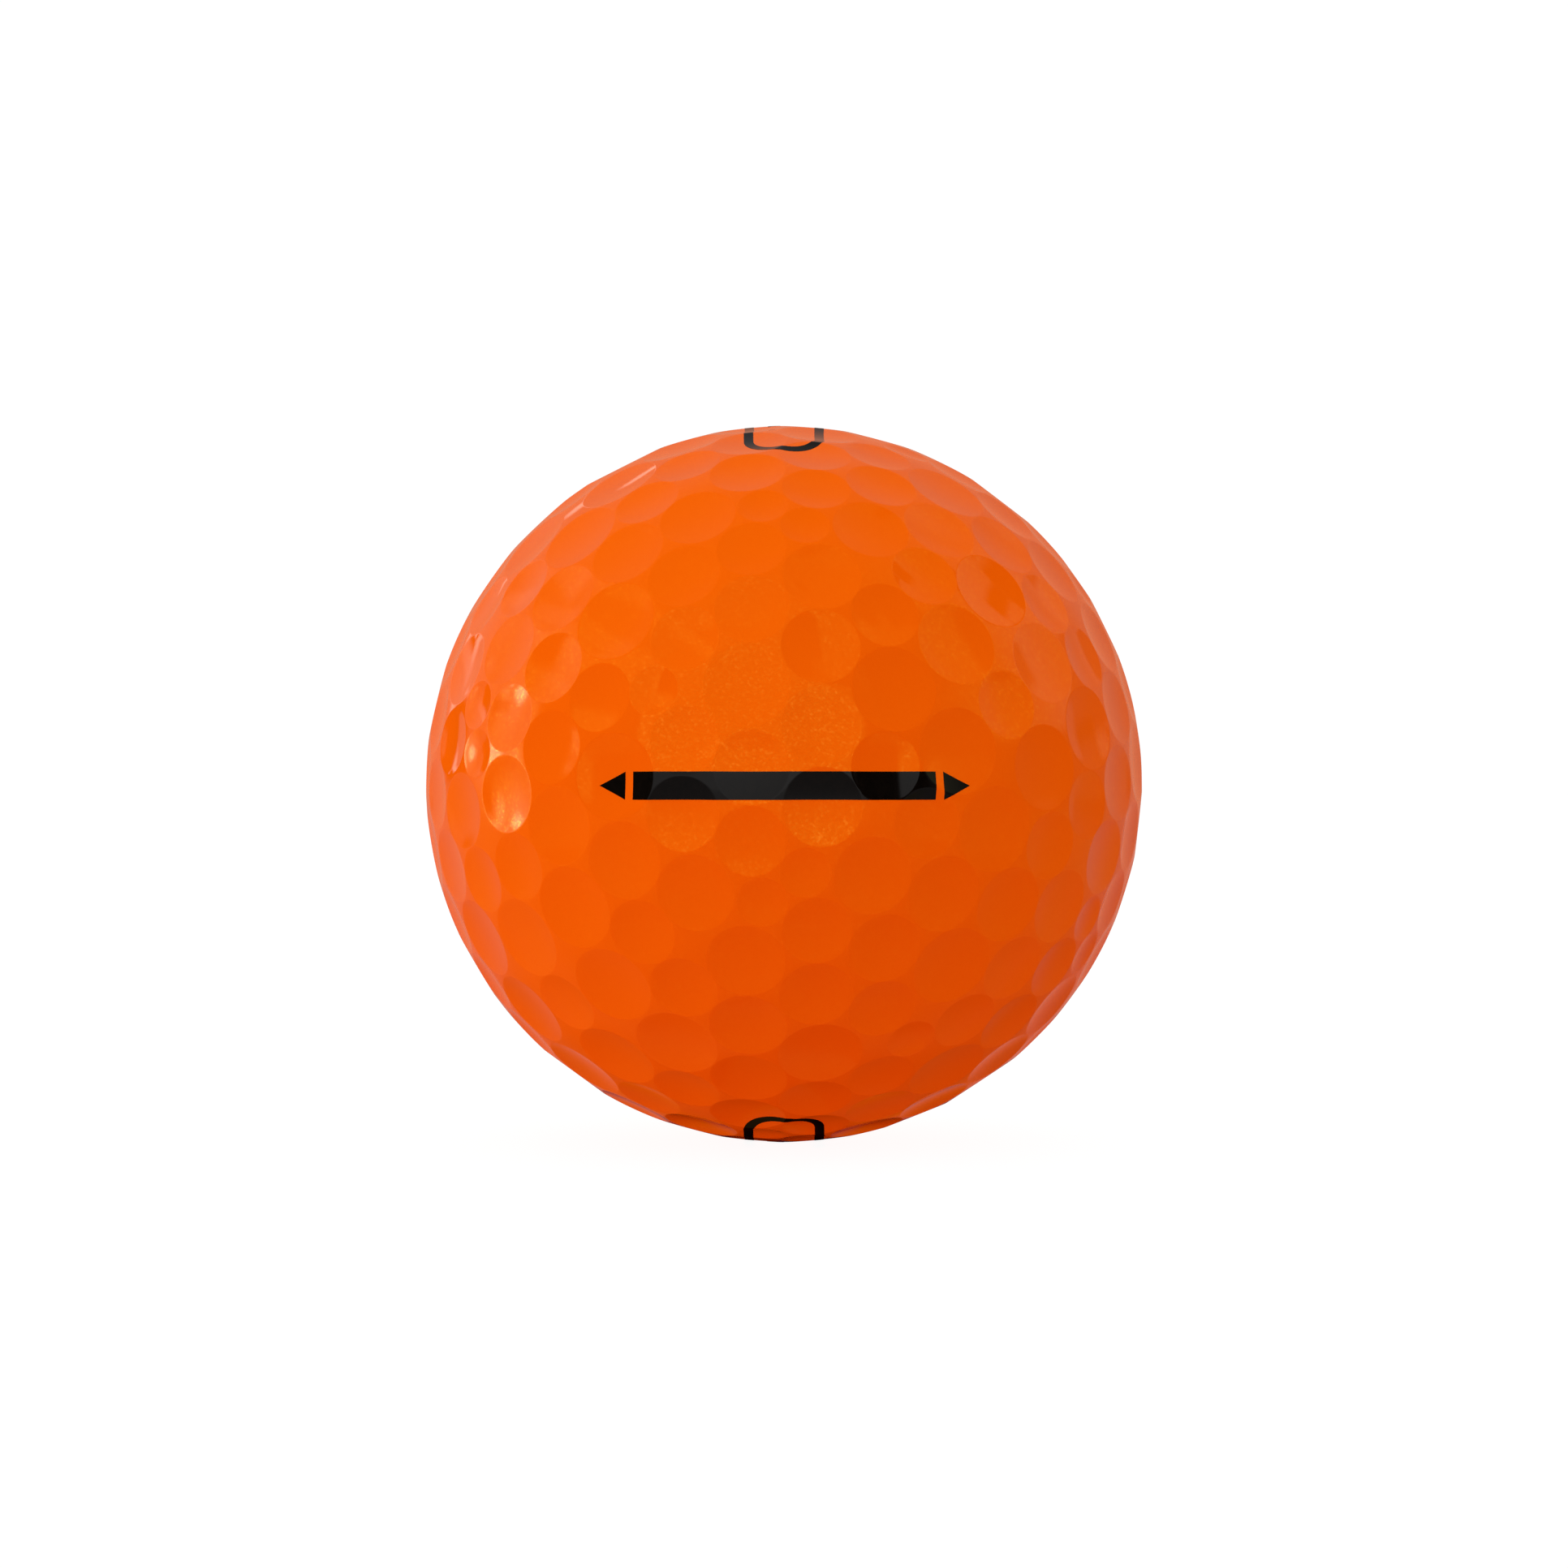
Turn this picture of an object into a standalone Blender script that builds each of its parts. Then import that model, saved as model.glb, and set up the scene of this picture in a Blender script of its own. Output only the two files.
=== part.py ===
"""A dimpled golf ball: a rubber core, a moulded cover in two halves, and printed ink marks.

Metres, +Z up. The origin is the ball's centre. The cover's mould parting plane is X = 0 and the mould's poles are on X.
-Y is the side with the alignment stamp. The two pole marks are on +Z and -Z.
"""

import itertools
import math

import bmesh
import bpy
import numpy as np
from mathutils import Matrix, Vector, geometry

MM = 0.001

# The ball
BALL_RADIUS = 21.35 * MM
COVER_THICKNESS = 1.7 * MM
CORE_GAP = 0.02 * MM  # between the core and the cover's inner wall
PARTING_GAP = 0.02 * MM  # between the two halves of the cover
CORE_ROUNDS = 4  # subdivisions of the icosahedron that core and cavity share

# The dimples: each is a shallow spherical bowl
EDGE_ANGLE = math.radians(13.5)  # between the bowl and the ball's surface at the rim
RIM_POINTS = 9
SMALL_RIM_POINTS = 8
POLE_RIM_POINTS = 24  # the dimple that the land's flat map is opened at
RING_SHARE = 0.6  # where each bowl's ring of vertices lies, as a share of its radius

# The dimple pattern has all the symmetries of a cube. Each row is one dimple of a family, as a direction in the cube's axes
# with its largest number first, and the family's rim radius, as an angle seen from the ball's centre.
SMALL, MIDDLE, MEDIUM, LARGE, LARGEST = (
    math.radians(a) for a in (3.77, 5.21, 5.55, 5.86, 6.43)
)
FAMILIES = (
    ((1.0, 0.0, 0.0), MIDDLE),
    ((1.0, 1.0, 1.0), SMALL),
    ((0.7530, 0.6580, 0.0), SMALL),
    ((0.9791, 0.2034, 0.0), LARGEST),
    ((0.9463, 0.2288, 0.2288), LARGEST),
    ((0.7576, 0.4615, 0.4615), LARGEST),
    ((0.6995, 0.6995, 0.1464), MIDDLE),
    ((0.6343, 0.6343, 0.4419), MIDDLE),
    ((0.8290, 0.5480, 0.1118), LARGE),
    ((0.7472, 0.5947, 0.2967), MEDIUM),
    ((0.9208, 0.3792, 0.0917), MIDDLE),
    ((0.8626, 0.4248, 0.2746), LARGE),
)
PATTERN_TURN = math.radians(14.7)  # about X, from -Y towards +Z

# The ink marks: films that follow the dimpled surface
INK_FLOAT = 0.010 * MM  # from the cover's surface to the film
INK_THICKNESS = 0.030 * MM
STAMP_HEIGHT = 1.54 * MM
STAMP_DROP = 0.09 * MM  # the stamp's middle is this far below the ball's middle
BAR_HALF_LENGTH = 8.3 * MM
ARROW_GAP = 0.45 * MM
ARROW_LENGTH = 1.45 * MM
MARK_HALF_LENGTH = 9.4 * MM
MARK_HALF_WIDTH = 2.35 * MM
MARK_STROKE = 0.55 * MM
MARK_CORNER_STEPS = 10
NUMERAL_HEIGHT = 3.4 * MM

ORANGE = (0.93, 0.13, 0.005, 1.0)
INK_BLACK = (0.012, 0.012, 0.013, 1.0)
CORE_TONE = (0.30, 0.34, 0.38, 1.0)


def clear_scene():
    for obj in list(bpy.data.objects):
        bpy.data.objects.remove(obj, do_unlink=True)


def new_collection(name, hidden=False):
    made = bpy.data.collections.new(name)
    bpy.context.scene.collection.children.link(made)
    made.hide_render = hidden
    return made


def material(name, colour, roughness, metallic, coat=0.0):
    made = bpy.data.materials.new(name)
    made.use_nodes = True
    made.diffuse_color = colour
    shader = made.node_tree.nodes["Principled BSDF"]
    shader.inputs["Base Color"].default_value = colour
    shader.inputs["Roughness"].default_value = roughness
    shader.inputs["Metallic"].default_value = metallic
    shader.inputs["Coat Weight"].default_value = coat
    shader.inputs["Coat Roughness"].default_value = 0.05
    return made


def add_object(name, bm, collection, look=None):
    mesh = bpy.data.meshes.new(name)
    bm.to_mesh(mesh)
    bm.free()
    obj = bpy.data.objects.new(name, mesh)
    collection.objects.link(obj)
    if look is None:
        obj.hide_render = True
        obj.display_type = "WIRE"
    else:
        mesh.materials.append(look)
    return obj


def boolean(obj, operation, other):
    cut = obj.modifiers.new(f"{operation.lower()} {other.name}", "BOOLEAN")
    cut.operation = operation
    cut.solver = "EXACT"
    cut.object = other


def pattern_axes():
    """The cube's three axes in the ball's frame: one of the cube's diagonals lies along X, so the parting plane X = 0 cuts no dimple in half."""
    columns = []
    for k in range(3):
        turn = PATTERN_TURN + k * math.tau / 3
        across = math.sqrt(2 / 3)
        columns.append(
            (1 / math.sqrt(3), -across * math.cos(turn), across * math.sin(turn))
        )
    return Matrix(columns).transposed()


def dimples():
    """(direction, rim radius as an angle) of every dimple: each family's row under the 48 symmetries of a cube."""
    axes = pattern_axes()
    found = []
    for direction, radius in FAMILIES:
        seen = set()
        for order in itertools.permutations(range(3)):
            for signs in itertools.product((1, -1), repeat=3):
                v = tuple(
                    round(s * direction[i], 5) + 0.0 for s, i in zip(signs, order)
                )
                if v not in seen:
                    seen.add(v)
                    found.append(((axes @ Vector(v)).normalized(), radius))
    return found


def across(direction):
    """Two unit vectors square to the direction, so that the three are right-handed."""
    helper = Vector((0, 0, 1)) if abs(direction.z) < 0.9 else Vector((1, 0, 0))
    first = helper.cross(direction).normalized()
    return first, direction.cross(first)


def rim(direction, radius, count):
    """Points on the unit sphere around a dimple, anticlockwise seen from outside."""
    first, second = across(direction)
    points = []
    for i in range(count):
        turn = math.tau * (i + 0.5) / count
        side = first * math.cos(turn) + second * math.sin(turn)
        points.append(direction * math.cos(radius) + side * math.sin(radius))
    return points


def bowl_depth(radius):
    """How deep a bowl's middle lies under the plane of its rim."""
    return BALL_RADIUS * math.sin(radius) * math.tan((EDGE_ANGLE - radius) / 2)


def dimpled_ball():
    """The cover's outer surface as a closed mesh.

    The land between the dimples is the Delaunay web of the rim points on the sphere. It is found on a flat stereographic map opened at the
    middle of one dimple, because that map turns the sphere's circles into flat ones. Each rim is then closed with one face, inset and
    pushed in for the bowl's ring, and poked for the bowl's middle.
    """
    bowls = dimples()
    opened = bowls[0][0]
    first, second = across(opened)
    points, loops = [], []
    for i, (direction, radius) in enumerate(bowls):
        count = SMALL_RIM_POINTS if radius == SMALL else RIM_POINTS
        count = POLE_RIM_POINTS if i == 0 else count
        loops.append(range(len(points), len(points) + count))
        points += rim(direction, radius, count)
    owner = [i for i, loop in enumerate(loops) for _ in loop]
    flat = [
        Vector((p.dot(first), p.dot(second))) / (1 - p.dot(opened)) for p in points
    ]
    edges = [
        (loop[i], loop[(i + 1) % len(loop)]) for loop in loops for i in range(len(loop))
    ]
    _, _, web, origins, _, _ = geometry.delaunay_2d_cdt(flat, edges, [], 0, 1e-9)
    bm = bmesh.new()
    verts = [bm.verts.new(p * BALL_RADIUS) for p in points]
    for triangle in web:
        corners = [origins[i][0] for i in triangle]
        if len({owner[i] for i in corners}) == 1:
            continue
        bm.faces.new([verts[i] for i in corners])
    caps = [bm.faces.new([verts[i] for i in loop]) for loop in loops]
    bmesh.ops.recalc_face_normals(bm, faces=bm.faces)
    by_radius = {}
    for (_, radius), cap in zip(bowls, caps):
        by_radius.setdefault((radius, len(cap.verts)), []).append(cap)
    for (radius, count), faces in by_radius.items():
        reach = BALL_RADIUS * math.sin(radius) * math.cos(math.pi / count)
        depth = bowl_depth(radius)
        bmesh.ops.inset_individual(
            bm,
            faces=faces,
            thickness=reach * (1 - RING_SHARE),
            depth=-depth * (1 - RING_SHARE**2),
            use_even_offset=True,
        )
        bmesh.ops.poke(bm, faces=faces, offset=-depth * RING_SHARE**2)
    if sum(f.calc_area() * f.normal.dot(f.calc_center_median()) for f in bm.faces) < 0:
        bmesh.ops.reverse_faces(bm, faces=bm.faces)
    return bm


def scaled(bm, factor):
    """A copy of the mesh made larger about the ball's centre, so that it never meets the first."""
    copy = bm.copy()
    bmesh.ops.scale(copy, vec=(factor, factor, factor), verts=copy.verts)
    return copy


def icosphere(radius):
    bm = bmesh.new()
    bmesh.ops.create_icosphere(bm, subdivisions=CORE_ROUNDS, radius=radius)
    return bm


def half_space(side):
    """A box over all of one side of the parting plane."""
    size = 3 * BALL_RADIUS
    bm = bmesh.new()
    bmesh.ops.create_cube(bm, size=size)
    bmesh.ops.translate(
        bm, vec=(side * (size / 2 + PARTING_GAP / 2), 0, 0), verts=bm.verts
    )
    return bm


def prism(outlines, placing, near=14 * MM, far=26 * MM):
    """Flat outlines, the first around the others, filled and drawn out along their own Z from near to far, then placed."""
    curve = bpy.data.curves.new("outline", "CURVE")
    curve.dimensions = "2D"
    curve.fill_mode = "BOTH"
    curve.extrude = (far - near) / 2
    for outline in outlines:
        spline = curve.splines.new("POLY")
        spline.points.add(len(outline) - 1)
        for point, (x, y) in zip(spline.points, outline):
            point.co = (x, y, 0, 1)
        spline.use_cyclic_u = True
    guide = bpy.data.objects.new("outline", curve)
    mesh = bpy.data.meshes.new_from_object(guide)
    bm = bmesh.new()
    bm.from_mesh(mesh)
    bpy.data.objects.remove(guide)
    bpy.data.meshes.remove(mesh)
    bmesh.ops.remove_doubles(bm, verts=bm.verts, dist=1e-7)
    bmesh.ops.translate(bm, vec=(0, 0, (near + far) / 2), verts=bm.verts)
    bmesh.ops.transform(bm, matrix=placing, verts=bm.verts)
    bmesh.ops.recalc_face_normals(bm, faces=bm.faces)
    return bm


def rectangle(left, right, low, high):
    return [(left, low), (right, low), (right, high), (left, high)]


def capsule(half_length, half_width):
    """A slot-shaped outline, long in Y."""
    straight = half_length - half_width
    points = []
    for end, start in ((1, 0.0), (-1, math.pi)):
        for i in range(MARK_CORNER_STEPS + 1):
            turn = start + math.pi * i / MARK_CORNER_STEPS
            points.append(
                (
                    half_width * math.cos(turn),
                    end * straight + half_width * math.sin(turn),
                )
            )
    return points


def numeral_one(height):
    """The outline of a plain figure one."""
    unit = height / 3.2
    points = (
        (-0.90, -1.60),
        (0.90, -1.60),
        (0.90, -1.08),
        (0.32, -1.08),
        (0.32, 1.60),
        (-0.22, 1.60),
        (-0.95, 0.98),
        (-0.62, 0.52),
        (-0.32, 0.78),
        (-0.32, -1.08),
        (-0.90, -1.08),
    )
    return [(x * unit, y * unit) for x, y in points]


def main():
    clear_scene()
    parts = new_collection("golf_ball")
    cutters = new_collection("cutters", hidden=True)
    cover_look = material("cover_orange", ORANGE, 0.35, 0.0, coat=1.0)
    ink_look = material("ink_black", INK_BLACK, 0.25, 0.0, coat=1.0)
    core_look = material("core_rubber", CORE_TONE, 0.7, 0.0)

    ball = dimpled_ball()
    cavity_radius = BALL_RADIUS - COVER_THICKNESS
    cavity = add_object("cavity", icosphere(cavity_radius), cutters)
    add_object("core", icosphere(cavity_radius - CORE_GAP), parts, core_look)
    for name, side in (("cover_half_left", -1), ("cover_half_right", 1)):
        half = add_object(name, ball.copy(), parts, cover_look)
        box = add_object(f"{name}_side", half_space(side), cutters)
        boolean(half, "DIFFERENCE", cavity)
        boolean(half, "INTERSECT", box)

    under = 1 + INK_FLOAT / BALL_RADIUS
    over = 1 + (INK_FLOAT + INK_THICKNESS) / BALL_RADIUS
    ink_under = add_object("ink_under", scaled(ball, under), cutters)
    ink_over = add_object("ink_over", scaled(ball, over), cutters)
    ball.free()

    front = Matrix.Rotation(math.pi / 2, 4, "X")
    top = Matrix.Identity(4)
    bottom = Matrix.Rotation(math.pi, 4, "X")
    low, high = -STAMP_HEIGHT / 2 - STAMP_DROP, STAMP_HEIGHT / 2 - STAMP_DROP
    near_end = BAR_HALF_LENGTH + ARROW_GAP
    far_end = near_end + ARROW_LENGTH
    bar = rectangle(-BAR_HALF_LENGTH, BAR_HALF_LENGTH, low, high)
    arrow = [(near_end, low), (far_end, -STAMP_DROP), (near_end, high)]
    ring = [
        capsule(MARK_HALF_LENGTH, MARK_HALF_WIDTH),
        capsule(MARK_HALF_LENGTH - MARK_STROKE, MARK_HALF_WIDTH - MARK_STROKE),
    ]
    marks = (
        ("side_stamp_bar", [bar], front),
        ("side_stamp_arrow_left", [[(-x, z) for x, z in reversed(arrow)]], front),
        ("side_stamp_arrow_right", [arrow], front),
        ("top_mark_outline", ring, top),
        ("top_mark_numeral", [numeral_one(NUMERAL_HEIGHT)], top),
        ("bottom_mark_outline", ring, bottom),
        ("bottom_mark_numeral", [numeral_one(NUMERAL_HEIGHT)], bottom),
    )
    for name, outlines, placing in marks:
        mark = add_object(name, prism(outlines, placing), parts, ink_look)
        boolean(mark, "INTERSECT", ink_over)
        boolean(mark, "DIFFERENCE", ink_under)


main()
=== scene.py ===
"""A dimpled golf ball on a white studio floor: smooth cover skin, printed ink films, rubber core, studio surroundings.

Metres, +Z up, the camera looks along +Y at the side stamp. Lengths in the shape code are in millimetres and turned to metres at the end.
"""

import itertools
import math

import bmesh
import bpy
import numpy as np
from mathutils import Matrix, Vector, geometry


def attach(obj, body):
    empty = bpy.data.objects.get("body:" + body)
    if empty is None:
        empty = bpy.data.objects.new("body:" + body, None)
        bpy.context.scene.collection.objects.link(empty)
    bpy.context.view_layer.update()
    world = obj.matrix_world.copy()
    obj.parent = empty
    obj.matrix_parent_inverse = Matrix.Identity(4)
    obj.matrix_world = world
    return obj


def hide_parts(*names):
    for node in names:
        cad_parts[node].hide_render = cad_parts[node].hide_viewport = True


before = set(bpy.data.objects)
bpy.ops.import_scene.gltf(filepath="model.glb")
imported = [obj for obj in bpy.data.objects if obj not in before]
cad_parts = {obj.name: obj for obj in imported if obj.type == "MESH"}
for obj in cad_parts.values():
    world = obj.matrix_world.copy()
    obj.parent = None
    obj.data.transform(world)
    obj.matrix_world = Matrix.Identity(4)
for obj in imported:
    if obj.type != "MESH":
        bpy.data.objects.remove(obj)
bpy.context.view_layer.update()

MM = 0.001

# ---------------------------------------------------------------- the ball's shape, as in the CAD
BALL_RADIUS = 21.35
COVER_THICKNESS = 1.7
EDGE_ANGLE = math.radians(13.5)
SMALL, MIDDLE, MEDIUM, LARGE, LARGEST = (
    math.radians(a) for a in (3.77, 5.21, 5.55, 5.86, 6.43)
)
FAMILIES = (
    ((1.0, 0.0, 0.0), MIDDLE),
    ((1.0, 1.0, 1.0), SMALL),
    ((0.7530, 0.6580, 0.0), SMALL),
    ((0.9791, 0.2034, 0.0), LARGEST),
    ((0.9463, 0.2288, 0.2288), LARGEST),
    ((0.7576, 0.4615, 0.4615), LARGEST),
    ((0.6995, 0.6995, 0.1464), MIDDLE),
    ((0.6343, 0.6343, 0.4419), MIDDLE),
    ((0.8290, 0.5480, 0.1118), LARGE),
    ((0.7472, 0.5947, 0.2967), MEDIUM),
    ((0.9208, 0.3792, 0.0917), MIDDLE),
    ((0.8626, 0.4248, 0.2746), LARGE),
)
PATTERN_TURN = math.radians(14.7)

# How finely the skin is made. Each dimple is a set of rings around its middle.
FILLET = 0.06  # half the width of the rounded rim
RIM_POINTS = 36
SMALL_RIM_POINTS = 26
POLE_RIM_POINTS = 96
BOWL_RINGS = (0.84, 0.6, 0.3)  # shares of the bowl's radius
LAND_LEFT = 0.006  # least land kept on each side of the line between two rims

# Ink films
INK_UNDER = 0.002
INK_OVER = 0.014
STAMP_HEIGHT = 1.54
STAMP_DROP = 0.09
BAR_HALF_LENGTH = 8.3
ARROW_GAP = 0.45
ARROW_LENGTH = 1.45
MARK_HALF_LENGTH = 9.4
MARK_HALF_WIDTH = 2.35
MARK_STROKE = 0.55
NUMERAL_HEIGHT = 3.4

CAMERA_DISTANCE = 10.05 * BALL_RADIUS
FOCAL_LENGTH = 82.2


def pattern_axes():
    columns = []
    for k in range(3):
        turn = PATTERN_TURN + k * math.tau / 3
        across = math.sqrt(2 / 3)
        columns.append(
            (1 / math.sqrt(3), -across * math.cos(turn), across * math.sin(turn))
        )
    return np.array(columns).T


def dimples():
    """Directions (n, 3) and rim angles (n,) of all dimples: each family under the 48 symmetries of a cube."""
    axes = pattern_axes()
    directions, radii = [], []
    for direction, radius in FAMILIES:
        seen = set()
        for order in itertools.permutations(range(3)):
            for signs in itertools.product((1, -1), repeat=3):
                v = tuple(
                    round(s * direction[i], 5) + 0.0 for s, i in zip(signs, order)
                )
                if v not in seen:
                    seen.add(v)
                    turned = axes @ np.array(v)
                    directions.append(turned / np.linalg.norm(turned))
                    radii.append(radius)
    return np.array(directions), np.array(radii)


CENTRES, RIMS = dimples()
_slope = EDGE_ANGLE - RIMS
BOWL_R = BALL_RADIUS * np.sin(RIMS) / np.sin(_slope)
BOWL_OFF = BALL_RADIUS * np.cos(RIMS) + BOWL_R * np.cos(_slope)


def rim_distance(v):
    """For unit vectors (n, 3): the nearest rim's dimple, and the distance to that rim over the ball, negative inside the dimple."""
    nearest = np.empty(len(v), int)
    away = np.empty(len(v))
    for at in range(0, len(v), 20000):
        part = v[at : at + 20000]
        angle = np.arccos(np.clip(part @ CENTRES.T, -1, 1)) - RIMS
        which = np.argmin(angle, axis=1)
        nearest[at : at + len(part)] = which
        away[at : at + len(part)] = (
            angle[np.arange(len(part)), which] * BALL_RADIUS
        )
    return nearest, away


def surface_radius(v):
    """How far the cover's surface is from the ball's centre along each unit vector."""
    which, away = rim_distance(v)
    theta = RIMS[which] + away / BALL_RADIUS
    off, r = BOWL_OFF[which], BOWL_R[which]
    bowl = off * np.cos(theta) - np.sqrt(
        np.maximum(r**2 - (off * np.sin(theta)) ** 2, 0)
    )
    fillet = BALL_RADIUS - math.tan(EDGE_ANGLE) * (FILLET - away) ** 2 / (4 * FILLET)
    return np.where(away >= FILLET, BALL_RADIUS, np.where(away <= -FILLET, bowl, fillet))


def square_to(v):
    """Two unit vectors square to each of v, right-handed with it."""
    helper = np.where(
        np.abs(v[:, 2:3]) < 0.9, np.array([[0.0, 0.0, 1.0]]), np.array([[1.0, 0.0, 0.0]])
    )
    first = np.cross(helper, v)
    first /= np.linalg.norm(first, axis=1, keepdims=True)
    return first, np.cross(v, first)


def surface_normals(v, step=0.004):
    """Outward normals of the cover's surface along unit vectors."""
    first, second = square_to(v)
    slopes = []
    for side in (first, second):
        ahead = v + side * step / BALL_RADIUS
        behind = v - side * step / BALL_RADIUS
        ahead /= np.linalg.norm(ahead, axis=1, keepdims=True)
        behind /= np.linalg.norm(behind, axis=1, keepdims=True)
        slopes.append((surface_radius(ahead) - surface_radius(behind)) / (2 * step))
    normal = v - first * slopes[0][:, None] - second * slopes[1][:, None]
    return normal / np.linalg.norm(normal, axis=1, keepdims=True)


def make_object(name, points, faces, normals=None):
    """A smooth-shaded mesh object from points in millimetres."""
    mesh = bpy.data.meshes.new(name)
    mesh.from_pydata((points * MM).tolist(), [], faces)
    mesh.polygons.foreach_set("use_smooth", [True] * len(mesh.polygons))
    mesh.update()
    mesh.validate()
    if normals is not None:
        mesh.normals_split_custom_set_from_vertices(normals.tolist())
    obj = bpy.data.objects.new(name, mesh)
    bpy.context.scene.collection.objects.link(obj)
    return obj


# ---------------------------------------------------------------- the cover's skin


def dimple_rings(i):
    """The unit vectors of one dimple's rings, outermost first, (rings, points, 3)."""
    centre, rim = CENTRES[i], RIMS[i]
    count = SMALL_RIM_POINTS if rim == SMALL else RIM_POINTS
    count = POLE_RIM_POINTS if i == 0 else count
    first, second = square_to(centre[None])
    turn = (np.arange(count) + 0.5) * math.tau / count
    side = np.cos(turn)[:, None] * first + np.sin(turn)[:, None] * second

    def at(away):
        angle = (rim + away / BALL_RADIUS)[:, None]
        return np.cos(angle) * centre + np.sin(angle) * side

    near = np.arccos(np.clip(CENTRES @ centre, -1, 1)) < math.radians(16)
    near[i] = False
    outer = np.full(count, FILLET)
    for _ in range(8):
        others = np.arccos(np.clip(at(outer) @ CENTRES[near].T, -1, 1)) - RIMS[near]
        gap = others.min(axis=1) * BALL_RADIUS
        outer -= np.maximum(0, (outer - gap + 2 * LAND_LEFT) / 2)
    rings = [at(-FILLET + (outer + FILLET) * k / 3) for k in (3, 2, 1, 0)]
    inner = rim * BALL_RADIUS - FILLET
    for share in BOWL_RINGS:
        rings.append(at(np.full(count, inner * share - rim * BALL_RADIUS)))
    return np.array(rings)


def build_skin():
    vectors, faces, rims, owner = [], [], [], []
    for i in range(len(CENTRES)):
        rings = dimple_rings(i)
        start = len(vectors)
        count = rings.shape[1]
        vectors.extend(rings.reshape(-1, 3))
        vectors.append(CENTRES[i])
        middle = len(vectors) - 1
        rims.append([start + k for k in range(count)])
        owner += [i] * (rings.shape[0] * count + 1)
        for r in range(rings.shape[0] - 1):
            a, b = start + r * count, start + (r + 1) * count
            for k in range(count):
                n = (k + 1) % count
                faces.append((a + k, a + n, b + n, b + k))
        last = start + (rings.shape[0] - 1) * count
        for k in range(count):
            faces.append((last + k, last + (k + 1) % count, middle))
    vectors = np.array(vectors)
    owner = np.array(owner)

    # The land: the Delaunay web of the outermost rings on a flat map of the sphere, opened at one dimple's middle
    opened = CENTRES[0]
    first, second = square_to(opened[None])
    outline = [k for loop in rims for k in loop]
    on_rim = vectors[outline]
    flat = np.stack([on_rim @ first[0], on_rim @ second[0]], axis=1) / (
        1 - on_rim @ opened
    )[:, None]
    place = {k: j for j, k in enumerate(outline)}
    edges = [
        (place[loop[k]], place[loop[(k + 1) % len(loop)]])
        for loop in rims
        for k in range(len(loop))
    ]
    _, _, web, origins, _, _ = geometry.delaunay_2d_cdt(
        [Vector(p) for p in flat.tolist()], edges, [], 0, 1e-10
    )
    for triangle in web:
        corners = [outline[origins[j][0]] for j in triangle]
        if len(set(owner[corners])) > 1:
            a, b, c = vectors[corners]
            if np.dot(np.cross(b - a, c - a), a) < 0:
                corners.reverse()
            faces.append(tuple(corners))

    normals = surface_normals(vectors)
    points = vectors * surface_radius(vectors)[:, None]

    # The wall's inner face
    bm = bmesh.new()
    bmesh.ops.create_icosphere(
        bm, subdivisions=4, radius=BALL_RADIUS - COVER_THICKNESS
    )
    inside = np.array([v.co for v in bm.verts])
    start = len(points)
    for f in bm.faces:
        faces.append(tuple(start + v.index for v in reversed(f.verts)))
    bm.free()
    points = np.vstack([points, inside])
    normals = np.vstack(
        [normals, -inside / np.linalg.norm(inside, axis=1, keepdims=True)]
    )
    return make_object("cover_skin", points, faces, normals)


# ---------------------------------------------------------------- ink films


def resampled(outline, step):
    """The outline's points with more between them, about step apart."""
    points = []
    for a, b in zip(outline, outline[1:] + outline[:1]):
        a, b = np.array(a, float), np.array(b, float)
        n = max(1, int(round(np.linalg.norm(b - a) / step)))
        points += [a + (b - a) * k / n for k in range(n)]
    return np.array(points)


def inside(points, loops):
    """Which of the flat points lie within the loops, by the even-odd rule."""
    found = np.zeros(len(points), bool)
    for loop in loops:
        x0, y0 = loop[:, 0], loop[:, 1]
        x1, y1 = np.roll(x0, -1), np.roll(y0, -1)
        for a, b, c, d in zip(x0, y0, x1, y1):
            if b == d:
                continue
            crosses = (b > points[:, 1]) != (d > points[:, 1])
            at = a + (points[:, 1] - b) * (c - a) / (d - b)
            found ^= crosses & (points[:, 0] < at)
    return found


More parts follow.
